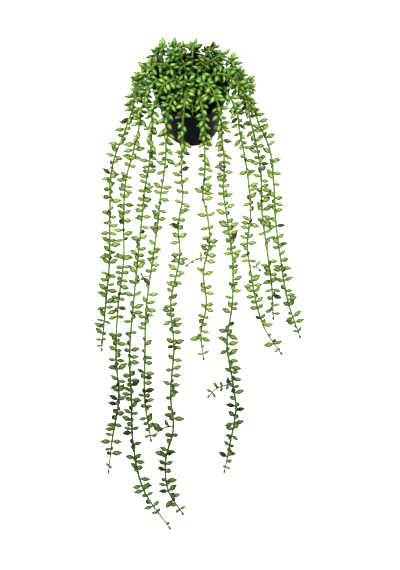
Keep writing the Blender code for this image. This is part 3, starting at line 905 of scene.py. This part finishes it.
@dataclass
class Routes:
    """The stems' courses: trails over the rim and along the surface, shoots in the crown, and side shoots."""

    mix: Mix
    hole_depth: float = 0.014
    foot_rise: float = 0.003
    overhang: float = 0.0095
    arch_floor: float = 0.0745
    arch_turns: tuple[int, ...] = (32, 66, 100, 140)
    shoulder: float = 0.066
    drop: tuple[Span, ...] = ((0.42, 0.032), (0.84, 0.0125))
    settle: float = 0.012
    surface_line: float = 0.0031
    surface_swell: float = 0.0008
    swell_length: float = 0.070
    sprig_reach: float = 0.012
    bow: tuple[Span, ...] = ((0.18, 0.72), (0.48, 1.0), (0.80, 0.86), (1.0, 0.52))
    sprig: tuple[Span, ...] = ((0.08, 0.36), (0.32, 0.72), (0.66, 0.94), (1.15, 0.98))
    side_course: tuple = ((0.25, 0.06, 0.0010), (0.6, 0.22, 0.0016), (0.9, 0.52, 0.0004))
    side_width: float = 0.8
    side_shoots: tuple = (
        ("trail_04", -0.222, -1, 0.014),
        ("trail_05", -0.420, -1, 0.022),
        ("trail_06", -0.196, -1, 0.022),
        ("trail_07", -0.366, -1, 0.032),
        ("trail_08", -0.208, 1, 0.012),
    )
    # where each trail stands in the mix (radius, angle), the angle at which it crosses the rim, the top of
    # its arch, how far from the axis it drops, and its way along the surface
    trails: tuple = (
        ((0.017, 176), 184, 0.114, 0.065, (
            (-0.078, -0.008), (-0.091, -0.055), (-0.094, -0.138), (-0.093, -0.200), (-0.096, -0.262),
            (-0.099, -0.322))),
        ((0.026, 199), 203, 0.103, 0.062, (
            (-0.068, -0.040), (-0.076, -0.082), (-0.078, -0.138), (-0.077, -0.200), (-0.082, -0.262),
            (-0.083, -0.330), (-0.079, -0.384), (-0.085, -0.440), (-0.088, -0.478))),
        ((0.016, 222), 221, 0.110, 0.060, (
            (-0.049, -0.058), (-0.054, -0.096), (-0.057, -0.138), (-0.061, -0.200), (-0.065, -0.262),
            (-0.068, -0.330), (-0.065, -0.386), (-0.062, -0.445), (-0.050, -0.500), (-0.022, -0.546))),
        ((0.027, 240), 240, 0.094, 0.057, (
            (-0.031, -0.067), (-0.035, -0.100), (-0.038, -0.140), (-0.044, -0.200), (-0.050, -0.262),
            (-0.051, -0.330), (-0.050, -0.390), (-0.043, -0.438))),
        ((0.015, 262), 260, 0.103, 0.057, (
            (-0.012, -0.073), (-0.010, -0.104), (-0.015, -0.150), (-0.013, -0.190), (-0.023, -0.262),
            (-0.019, -0.315), (-0.022, -0.384), (-0.019, -0.424), (-0.027, -0.465), (-0.024, -0.500),
            (-0.008, -0.530))),
        ((0.026, 284), 285, 0.096, 0.057, (
            (0.016, -0.071), (0.013, -0.102), (0.019, -0.140), (0.021, -0.172), (0.014, -0.215),
            (0.017, -0.262), (0.011, -0.300), (0.014, -0.334))),
        ((0.016, 308), 306, 0.107, 0.058, (
            (0.039, -0.062), (0.037, -0.096), (0.041, -0.138), (0.047, -0.200), (0.046, -0.262),
            (0.040, -0.312), (0.046, -0.365), (0.049, -0.395), (0.042, -0.445), (0.036, -0.478))),
        ((0.027, 329), 328, 0.095, 0.062, (
            (0.062, -0.044), (0.066, -0.082), (0.068, -0.138), (0.064, -0.176), (0.068, -0.220),
            (0.074, -0.262), (0.083, -0.296), (0.100, -0.326))),
        ((0.017, 352), 350, 0.102, 0.065, (
            (0.075, -0.022), (0.080, -0.060), (0.082, -0.138), (0.087, -0.190), (0.091, -0.236),
            (0.092, -0.280))),
        ((0.027, 12), 11, 0.094, 0.066, (
            (0.078, 0.006), (0.091, -0.035), (0.096, -0.090), (0.097, -0.138), (0.102, -0.200),
            (0.109, -0.258), (0.121, -0.304))),
        ((0.016, 36), 36, 0.100, 0.062, (
            (0.056, 0.044), (0.058, 0.062), (0.048, 0.082))),
        ((0.026, 62), 61, 0.095, 0.058, (
            (0.031, 0.062), (0.030, 0.084), (0.022, 0.104))),
        ((0.017, 88), 87, 0.094, 0.057, (
            (0.003, 0.070), (0.000, 0.090), (0.003, 0.110))),
        ((0.027, 112), 113, 0.094, 0.057, (
            (-0.025, 0.066), (-0.026, 0.086), (-0.018, 0.106))),
        ((0.016, 138), 137, 0.111, 0.061, (
            (-0.049, 0.051), (-0.050, 0.070), (-0.042, 0.090))),
        ((0.026, 159), 161, 0.096, 0.064, (
            (-0.067, 0.030), (-0.070, 0.046), (-0.066, 0.062))),
    )
    # where each crown shoot stands (radius, angle), the way it leans, its height over the mix and its reach
    shoots: tuple = (
        ((0.005, 20), 30, 0.034, 0.034),
        ((0.006, 140), 124, 0.036, 0.032),
        ((0.006, 255), 250, 0.033, 0.033),
        ((0.034, 188), 193, 0.016, 0.026),
        ((0.034, 231), 231, 0.019, 0.013),
        ((0.034, 272), 273, 0.018, 0.014),
        ((0.034, 318), 317, 0.019, 0.013),
        ((0.034, 0), 1, 0.016, 0.026),
        ((0.034, 49), 48, 0.017, 0.022),
        ((0.034, 100), 99, 0.016, 0.024),
        ((0.034, 148), 149, 0.017, 0.023),
        ((0.0215, 188), 184, 0.024, 0.007),
        ((0.0215, 231), 230, 0.021, 0.008),
        ((0.0215, 273), 276, 0.024, 0.007),
        ((0.0215, 318), 319, 0.022, 0.008),
        ((0.0215, 2), 358, 0.024, 0.007),
        ((0.0215, 49), 49, 0.021, 0.008),
        ((0.0215, 100), 98, 0.024, 0.007),
        ((0.0215, 149), 152, 0.022, 0.008),
    )

    def foot(self, radius: float, degrees: float) -> list[Vector]:
        """Starts a stem upright in its hole.

        Args:
            radius: its distance from the pot's axis.
            degrees: its angle from +X.

        Returns:
            The buried end, the top of the mix and a point a little above.
        """
        place = polar(radius, degrees, 0)
        top = self.mix.top(place.x, place.y)
        heights = (top - self.hole_depth + 2 * self.mix.gap, top, top + self.foot_rise)
        return [place + Vector((0, 0, height)) for height in heights]

    def trail(self, stand: tuple, rim: float, arch: float, reach: float, way: tuple) -> list[Vector]:
        """Draws a long stem.

        Args:
            stand: the radius and angle at which it stands.
            rim: the angle at which it crosses the rim.
            arch: the height of its arch.
            reach: how far from the axis it drops.
            way: its way along the surface.

        Returns:
            Its centreline, up from the mix, over the rim, down beside the pot and along the surface.
        """
        radius, degrees = stand
        points = self.foot(radius, degrees)
        for turn in self.arch_turns:
            share = (1 - math.cos(math.radians(turn))) / 2
            out = radius + (self.mix.pot.rim_radius + self.overhang - radius) * share
            height = self.arch_floor + (arch - self.arch_floor) * math.sin(math.radians(turn))
            points.append(polar(out, degrees + (rim - degrees) * share, height))
        shoulder = polar(reach, rim, self.shoulder)
        points.append(shoulder)
        down, after = (Vector((*spot, self.surface_line)) for spot in way[:2])
        points += [Vector((*shoulder.xy.lerp(down.xy, share), height)) for share, height in self.drop]
        points.append(down + (after - down).normalized() * self.settle)
        length = 0.0
        for x, y in way[1:]:
            length += (Vector((x, y)) - points[-1].xy).length
            swell = self.surface_swell * (1 - math.cos(math.tau * length / self.swell_length))
            points.append(Vector((x, y, self.surface_line + swell)))
        return through(points)

    def shoot(self, stand: tuple, lean: float, height: float, reach: float) -> list[Vector]:
        """Draws a short stem of the crown.

        Args:
            stand: the radius and angle at which it stands.
            lean: the angle that it leans towards.
            height: its height over the mix.
            reach: how far it reaches outward.

        Returns:
            Its centreline, which bows over or stands.
        """
        points = self.foot(*stand)
        start, way = points[1], polar(1, lean, 0)
        for out, up in self.bow if reach > self.sprig_reach else self.sprig:
            points.append(start + way * reach * out + Vector((0, 0, height * up)))
        return through(points)

    def side_shoot(self, stem: Stem, place: int, way: int, length: float) -> Stem:
        """Grows a short stem out of a trail.

        Args:
            stem: the trail.
            place: the sample that it leaves from.
            way: -1 towards -X or 1 towards +X.
            length: its length.

        Returns:
            The side shoot, which curves forward over the surface.
        """
        start, tangent = stem.points[place], stem.tangents[place]
        out = Vector((way, 0, 0))
        points = [start]
        for share, forward, rise in self.side_course:
            points.append(start + (out * share + tangent * forward) * length + Vector((0, 0, rise)))
        side = -(tangent - out * tangent.dot(out))
        return Stem(stem.name, through(points), side, stem.radius * self.side_width, before=place * STEP)

    def draw(self) -> list[Stem]:
        """Draws every stem with its side shoots.

        Returns:
            The stems that stand in the mix.
        """
        stems = [Stem(f"trail_{n:02}", self.trail(*course)) for n, course in enumerate(self.trails, 1)]
        stems += [Stem(f"shoot_{n:02}", self.shoot(*course)) for n, course in enumerate(self.shoots, 1)]
        named = {stem.name: stem for stem in stems}
        for name, front, way, length in self.side_shoots:
            stem = named[name]
            place = min(range(len(stem.points)), key=lambda n: abs(stem.points[n].y - front))
            stem.branches.append((place, self.side_shoot(stem, place, way, length)))
        return stems


@dataclass
class Growth:
    """How the leaves grow: one to three at a node, turning round the stem, wherever the crowd leaves room.
    The solids' leaves come first, and then the fuller flush between them, which leans outward."""

    routes: Routes
    crowd: Crowd
    length: float = 0.0125
    radius: float = 0.0030
    balls: tuple[Span, ...] = ((0.36, 0.80), (0.60, 1.0), (0.83, 0.60))
    solid: Flush = Flush(counts=(1, 2, 2, 2, 3), sizes=(0.80, 1.06), tip_shrink=0.68, clearance=0.0005,
                         slimness=1.0, spacing=0.0194, crown_spacing=0.0110, crown_floor=0.068, seed=11)
    side_spacing: float = 0.0075
    cramped: float = 0.75
    leans: Span = (50, 108)
    along: Span = (-0.35, 0.6)
    least_across: float = 0.3
    droop: float = 0.7
    near_surface: float = 0.012
    stand: float = 0.85
    first_node: float = 0.006
    last_node: float = 0.0065
    # the angles round the stem of one leaf, of two and of three
    spread: tuple[tuple[int, ...], ...] = ((0,), (0, 165), (0, 115, 240))
    spiral: float = 137.5
    loose_turn: float = 32
    loose_spacing: Span = (0.60, 1.40)
    turns: tuple[int, ...] = (0, 25, -25, 50, -50, 75, -75, 100, -100, 130, -130, 180)
    tip_zone: float = 0.060
    fork_room: float = 0.004
    full: Flush = Flush(counts=(1, 2, 2), sizes=(0.88, 1.20), tip_shrink=0.95, clearance=0.0001,
                        slimness=0.84, spacing=0.0072, crown_spacing=0.0043, crown_floor=0.050, seed=400)
    full_share: float = 0.86
    full_loose: float = 0.0024
    outer_share: float = 0.55
    outward: float = 0.6
    raised: float = 0.25
    off: float = 40

    def settled(self, way: Vector, tangent: Vector, height: float) -> Vector:
        """Lets a leaf hang or lie under its own weight.

        Args:
            way: the way it would grow.
            tangent: the way of its stem.
            height: its root's height over the surface.

        Returns:
            Its direction. Near the surface it lies over to one side or stands up.
        """
        if height < self.near_surface:
            way = Vector((way.x, way.y, abs(way.z) * self.stand))
        else:
            way = way - Vector((0, 0, self.droop))
        along = way.dot(tangent)
        across = way - tangent * along
        if across.length < self.least_across:
            across = across + tangent.cross(Vector((0, 0, 1)))
        return (across.normalized() + tangent * max(self.along[0], min(self.along[1], along))).normalized()

    def filling(self, root: Vector, leaf: Leaf, slimness: float) -> tuple[list[Vector], list[float]]:
        """Fills a leaf with balls.

        Args:
            root: the middle of its node.
            leaf: the leaf.
            slimness: how slim the balls are against it.

        Returns:
            Their centres and their radii.
        """
        reach = leaf.way * self.length * leaf.scale
        return ([root + reach * share for share, _ in self.balls],
                [self.radius * leaf.scale * width * slimness for _, width in self.balls])

    def fitted(self, stem: Stem, place: int, turn: float, lean: float, scale: float,
               flush: Flush) -> Leaf | None:
        """Turns a leaf about its stem to the first way that is clear.

        Args:
            stem: the stem that it grows on.
            place: the sample that it grows at.
            turn: the angle round the stem, in degrees.
            lean: the angle from the stem.
            scale: its size.
            flush: the leaves that it is one of.

        Returns:
            The leaf, or None where there is no room.
        """
        root, (tangent, side, up) = stem.points[place], stem.frame(place)
        for size in (scale, scale * self.cramped):
            for extra in self.turns:
                around = math.radians(turn + extra)
                out = side * math.cos(around) + up * math.sin(around)
                way = out * math.sin(lean) + tangent * math.cos(lean)
                leaf = Leaf(self.settled(way, tangent, root.z), size)
                balls = self.filling(root, leaf, flush.slimness)
                if self.crowd.room(*balls, stem, place, flush.slimness) > flush.clearance:
                    return leaf
        return None

    def node_places(self, stem: Stem, start: int, flush: Flush, rng: random.Random) -> list[int]:
        """Spaces a stem's nodes.

        Args:
            stem: the stem.
            start: its first node's sample.
            flush: the leaves' spacing.
            rng: the draws.

        Returns:
            The nodes' samples, with one near the tip.
        """
        places, place = [], float(start)
        last = len(stem.points) - 1 - round(self.last_node / STEP)
        while place < last - self.last_node / STEP:
            places.append(round(place))
            place += flush.step(stem.points[places[-1]].z) * rng.uniform(*self.loose_spacing) / STEP
        return places + [last]

    def at_node(self, stem: Stem, place: int, turn: float, flush: Flush, rng: random.Random) -> None:
        """Puts leaves at one node.

        Args:
            stem: the stem.
            place: the node's sample.
            turn: the angle of its first leaf, in degrees.
            flush: the leaves' number, sizes and gap.
            rng: the draws.
        """
        scale = flush.tip_shrink + (1 - flush.tip_shrink) * min(1.0, stem.left(place) / self.tip_zone)
        for offset in self.spread[rng.choice(flush.counts) - 1]:
            lean = math.radians(rng.uniform(*self.leans))
            size = scale * rng.uniform(*flush.sizes)
            around = turn + offset + rng.uniform(-self.loose_turn, self.loose_turn)
            leaf = self.fitted(stem, place, around, lean, size, flush)
            if leaf:
                centres, radii = self.filling(stem.points[place], leaf, flush.slimness)
                self.crowd.add(centres, radii, [(-1, 0)] * len(centres))
                stem.nodes.setdefault(place, []).append(leaf)

    def grow(self, stem: Stem, start: int, flush: Flush) -> None:
        """Grows the leaves that the stem's solid has.

        Args:
            stem: the stem.
            start: the first node's sample.
            flush: the leaves' number, sizes, gap and spacing.
        """
        rng = random.Random(flush.seed + stem.number)
        turn = rng.uniform(0, 360)
        for place in self.node_places(stem, start, flush, rng):
            turn += self.spiral
            if not stem.forks(place, self.fork_room):
                self.at_node(stem, place, turn, flush, rng)

    def fill(self, stem: Stem) -> None:
        """Adds the leaves between those of the solid, as close as they stand on the real plant.

        Args:
            stem: the stem.
        """
        rng = random.Random(self.full.seed + stem.number)
        turn = rng.uniform(0, 360)
        places = sorted(stem.nodes)
        for before, after in zip(places, places[1:]):
            added = round((after - before) * STEP / self.full.step(stem.points[before].z)) - 1
            for n in range(added):
                loose = rng.uniform(-self.full_loose, self.full_loose)
                place = round(before + (after - before) * (n + 1) / (added + 1) + loose / STEP)
                outer = rng.random() < self.outer_share
                turn = self.outer_turn(stem, place, rng) if outer else turn + self.spiral
                if rng.random() < self.full_share and not stem.forks(place, self.fork_room):
                    self.at_node(stem, place, turn, self.full, rng)

    def outer_turn(self, stem: Stem, place: int, rng: random.Random) -> float:
        """Turns a leaf upward and away from the pot.

        Args:
            stem: its stem.
            place: its node's sample.
            rng: the draws.

        Returns:
            The angle round the stem, in degrees.
        """
        _, side, up = stem.frame(place)
        out = stem.points[place].xy.normalized() * self.outward
        way = Vector((out.x, out.y, 1 if stem.points[place].z < self.near_surface else self.raised))
        return math.degrees(math.atan2(way.dot(up), way.dot(side))) + rng.uniform(-self.off, self.off)

    def all_stems(self) -> list[Stem]:
        """Grows the whole plant.

        Returns:
            Every stem with its leaves and side shoots, kept clear of one another.
        """
        stems = self.routes.draw()
        every = stems + [branch for stem in stems for _, branch in stem.branches]
        for number, stem in enumerate(every):
            stem.number = number
            count = range(0, len(stem.points), 2)
            self.crowd.add([stem.points[n] for n in count], [stem.width(n) for n in count],
                           [(number, n) for n in count])
        for stem in every:
            branch = stem.number >= len(stems)
            start = round((self.first_node + (0 if branch else self.routes.hole_depth)) / STEP)
            self.grow(stem, start, replace(self.solid, spacing=self.side_spacing) if branch else self.solid)
        solid = sum(stem.leaf_count() for stem in every)
        for stem in every:
            self.fill(stem)
        full = sum(stem.leaf_count() for stem in every)
        LOG.info("%d leaves of the solids and %d more", solid, full - solid)
        return stems


@dataclass
class Foliage:
    """The shape of leaves, stems and end buds, and the making of a leafy stem's piece."""

    leaf_length: float = 0.0125
    half_width: float = 0.00250
    half_thickness: float = 0.00196
    # share of the leaf's length and of its width: a thin foot, a full belly and a drawn-out point
    leaf_form: tuple[Span, ...] = (
        (0.06, 0.20), (0.11, 0.25), (0.17, 0.42), (0.25, 0.68), (0.34, 0.89), (0.43, 0.99),
        (0.52, 1.0), (0.62, 0.89), (0.72, 0.67), (0.81, 0.43), (0.89, 0.24), (0.95, 0.10))
    leaf_foot: float = 0.04
    leaf_sides: int = 12
    face_lean: float = 0.5
    curl: Span = (0.0, 0.06)
    plumpness: Span = (0.93, 1.06)
    # how closely the window, also painted top light, keeps to the upper face, and where along the leaf it
    # lies
    window_width: float = 2.6
    window_ends: Span = (0.16, 0.88)
    # length of stem and depth of colour there: palest just out of the crown, deepest at the far ends
    depths: tuple[Span, ...] = ((0.0, 0.12), (0.08, 0.05), (0.14, 0.0), (0.30, 0.1), (0.52, 1.0))
    darkened: float = 0.4
    stem_sides: int = 8
    stem_stride: int = 2
    stem_fullness: float = 0.9
    node_swell: float = 0.35
    node_length: float = 0.0014
    uneven: float = 0.05
    # how far a stem is browned all along, high in the crown and at its end, in patches of this size
    browned: Span = (0.0, 0.5)
    high_browned: float = 0.6
    brown_height: float = 0.090
    brown_rise: float = 0.012
    end_browned: float = 0.45
    brown_end: float = 0.05
    patch: float = 0.03
    bud_length: float = 0.0060
    bud_start: float = 0.0025
    bud_width: float = 0.0013
    seed: int = 70

    def depth(self, stem: Stem, place: int) -> float:
        """The depth of colour at a sample of a stem, from 0 to 1."""
        return float(np.interp(stem.before + place * STEP, *zip(*self.depths)))

    def tear(self, form: Form, course: tuple[Vector, Vector, Vector], foot: float, wide: Vector,
             thick: Vector, values: dict[Layer, float]) -> None:
        """Adds a tear: a leaf or a folded end bud.

        Args:
            form: the mesh in the making.
            course: its root, the way from there to its point, and how far its point curls.
            foot: the share of its length at which it comes out of the stem.
            wide: its half width, as a vector.
            thick: its half thickness, as a vector.
            values: its window, which is also painted light on its top, its tone and its depth of colour.
        """
        root, reach, curl = course
        share, width = (np.array(column)[:, None, None] for column in zip(*self.leaf_form))
        rings = (np.array(root) + share * np.array(reach) + share**2 * np.array(curl)
                 + width * ellipse(self.leaf_sides, wide, thick))
        spread = {layer: np.full(rings.shape[:2], value) for layer, value in values.items()}
        spread[Layer.ALONG] = np.repeat(share[:, :, 0], self.leaf_sides, axis=1)
        # the window is drawn on the upper face alone, so that it also paints the light on the leaf's top
        upper = np.clip(ellipse(self.leaf_sides, (0,), (1,)).T, 0, 1) ** self.window_width
        first, last = self.window_ends
        belly = np.sin(np.clip((share[:, :, 0] - first) / (last - first), 0, 1) * math.pi)
        spread[Layer.WINDOW] *= belly * upper
        form.tube(rings, root + reach * foot, root + reach + curl, 1, spread)

    def leaf(self, form: Form, stem: Stem, place: int, leaf: Leaf, rng: random.Random) -> None:
        """Adds a leaf.

        Args:
            form: the mesh in the making.
            stem: the stem that it grows on.
            place: its node's sample.
            leaf: its direction and size.
            rng: the draws for its curl, plumpness and tone.
        """
        up = Vector((0, 0, 1)) + stem.tangents[place] * self.face_lean
        face = (up - leaf.way * up.dot(leaf.way)).normalized()
        reach = leaf.way * self.leaf_length * leaf.scale
        curl = face * self.leaf_length * leaf.scale * rng.uniform(*self.curl)
        plump = leaf.scale * rng.uniform(*self.plumpness)
        depth = self.depth(stem, place)
        tone = rng.random() * (1 - self.darkened * depth)
        self.tear(form, (stem.points[place], reach, curl), self.leaf_foot,
                  face.cross(leaf.way) * self.half_width * plump, face * self.half_thickness * plump,
                  {Layer.WINDOW: 1.0, Layer.TONE: tone, Layer.DEPTH: depth})

    def bud(self, form: Form, stem: Stem, rng: random.Random) -> None:
        """Adds the small folded leaf at a stem's end.

        Args:
            form: the mesh in the making.
            stem: the stem.
            rng: the draws for its tone.
        """
        last = len(stem.points) - 1
        tangent, side, up = stem.frame(last)
        course = (stem.points[last] - tangent * self.bud_start, tangent * self.bud_length, Vector((0, 0, 0)))
        self.tear(form, course, 0.0, side * self.bud_width, up * self.bud_width,
                  {Layer.WINDOW: 0.0, Layer.TONE: rng.random(), Layer.DEPTH: self.depth(stem, last)})

    def tube(self, form: Form, stem: Stem, rng: random.Random) -> None:
        """Adds a stem, with a swelling at each node.

        Args:
            form: the mesh in the making.
            stem: the stem.
            rng: the draws for its unevenness and its browned places.
        """
        last = len(stem.points) - 1
        nodes = np.array(sorted(set(stem.nodes) | {place for place, _ in stem.branches}) or [last])
        rings, dry, deep = [], [], []
        browned = rng.uniform(*self.browned)
        for place in range(0, last, self.stem_stride):
            _, side, up = stem.frame(place)
            near = np.abs(nodes - place).min() * STEP / self.node_length
            width = stem.width(place) * self.stem_fullness * (1 + self.node_swell * math.exp(-near**2))
            uneven = [[1 + rng.uniform(-self.uneven, self.uneven)] for _ in range(self.stem_sides)]
            rings.append(np.array(stem.points[place]) + ellipse(self.stem_sides, side, up) * width * uneven)
            high = min(1.0, max(0.0, (stem.points[place].z - self.brown_height) / self.brown_rise))
            end = max(0.0, 1 - stem.left(place) / self.brown_end)
            patch = (1 + noise.noise(stem.points[place] / self.patch)) / 2
            dry.append([min(1.0, (browned + self.high_browned * high) * patch + self.end_browned * end)])
            deep.append([self.depth(stem, place)])
        values = {layer: np.repeat(column, self.stem_sides, axis=1)
                  for layer, column in ((Layer.WEAR, dry), (Layer.DEPTH, deep))}
        form.tube(np.array(rings), stem.points[0], stem.points[last], 0, values)

    def grown(self, form: Form, stem: Stem, rng: random.Random) -> None:
        """Adds a stem with its leaves, its bud and its side shoots.

        Args:
            form: the mesh in the making.
            stem: the stem.
            rng: the draws.
        """
        self.tube(form, stem, rng)
        self.bud(form, stem, rng)
        for place, leaves in sorted(stem.nodes.items()):
            for leaf in leaves:
                self.leaf(form, stem, place, leaf, rng)
        for _, branch in stem.branches:
            self.grown(form, branch, rng)

    def build(self, stems: list[Stem]) -> None:
        """Builds a piece for each stem's solid and dresses it.

        Args:
            stems: the stems that stand in the mix, with their leaves and side shoots.
        """
        finishes = StemSkin().make(), LeafSkin().make()
        for number, stem in enumerate(stems):
            form = Form()
            self.grown(form, stem, random.Random(self.seed + number))
            settle_piece(form.made("leafy_" + stem.name, *finishes), stem.name, Slot.FOLIAGE)


@dataclass
class Studio:
    """A pale light table, soft light and the camera, which looks down on the plant along +Y."""

    floor_size: float = 12.0
    floor_cells: int = 8
    elevation: float = 55.0
    lens: float = 150.0
    distance: float = 2.663
    farthest: float = 100.0
    aim: tuple[float, float, float] = (0.010, -0.245, 0.02)
    sky: str = "#FFFFFF"
    sky_strength: float = 1.0
    # name, place, size, power and colour of each light
    lights: tuple = (
        ("key", (-0.25, -1.16, 1.77), 0.8, 24.0, "#FFFBF4"),
        ("rim", (-1.1, 0.7, 1.3), 0.9, 6.0, "#F6F9FF"),
    )

    def floor(self) -> None:
        """Lays the light table as the floor."""
        bm = bmesh.new()
        cells = self.floor_cells
        bmesh.ops.create_grid(bm, x_segments=cells, y_segments=cells, size=self.floor_size / 2)
        mesh = bpy.data.meshes.new("light_table")
        bm.to_mesh(mesh)
        bm.free()
        mesh.materials.append(LitAcrylic().make())
        floor = placed("light_table", mesh)

    def aimed(self, made: bpy.types.Object, place: Vector) -> None:
        """Points a light or camera at the plant.

        Args:
            made: the light or camera.
            place: where it stands.
        """
        made.location = place
        made.rotation_mode = "QUATERNION"
        made.rotation_quaternion = (Vector(self.aim) - place).to_track_quat("-Z", "Y")

    def light(self) -> None:
        """Sets the sky and the lights."""
        scene = bpy.context.scene
        scene.world = bpy.data.worlds.new("studio_sky")
        scene.world.use_nodes = True
        tree = scene.world.node_tree
        add_node(tree, tree.nodes["Background"], {"Color": self.sky, "Strength": self.sky_strength})
        scene.view_settings.view_transform = "Standard"
        scene.view_settings.look = "High Contrast"
        for name, place, size, power, colour in self.lights:
            lamp = bpy.data.lights.new(name, "AREA")
            lamp.size, lamp.energy, lamp.color = size, power, linear(colour)[:3]
            self.aimed(placed(name, lamp), Vector(place))

    def camera(self) -> None:
        """Places the camera."""
        view = bpy.data.cameras.new("camera")
        view.lens, view.clip_end = self.lens, self.farthest
        camera = placed("camera", view)
        tilt = math.radians(self.elevation)
        back = Vector((0, -math.cos(tilt), math.sin(tilt)))
        self.aimed(camera, Vector(self.aim) + back * self.distance)
        bpy.context.scene.camera = camera

    def build(self) -> None:
        """Sets up the whole studio."""
        self.floor()
        self.light()
        self.camera()


def main() -> None:
    """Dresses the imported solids."""
    logging.basicConfig(level=logging.INFO, format="%(message)s")
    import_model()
    Studio().build()
    pot = Pot()
    pot.build()
    mix = Mix(pot)
    mix.build()
    Foliage().build(Growth(Routes(mix), Crowd(mix)).all_stems())


if __name__ == "__main__":
    main()
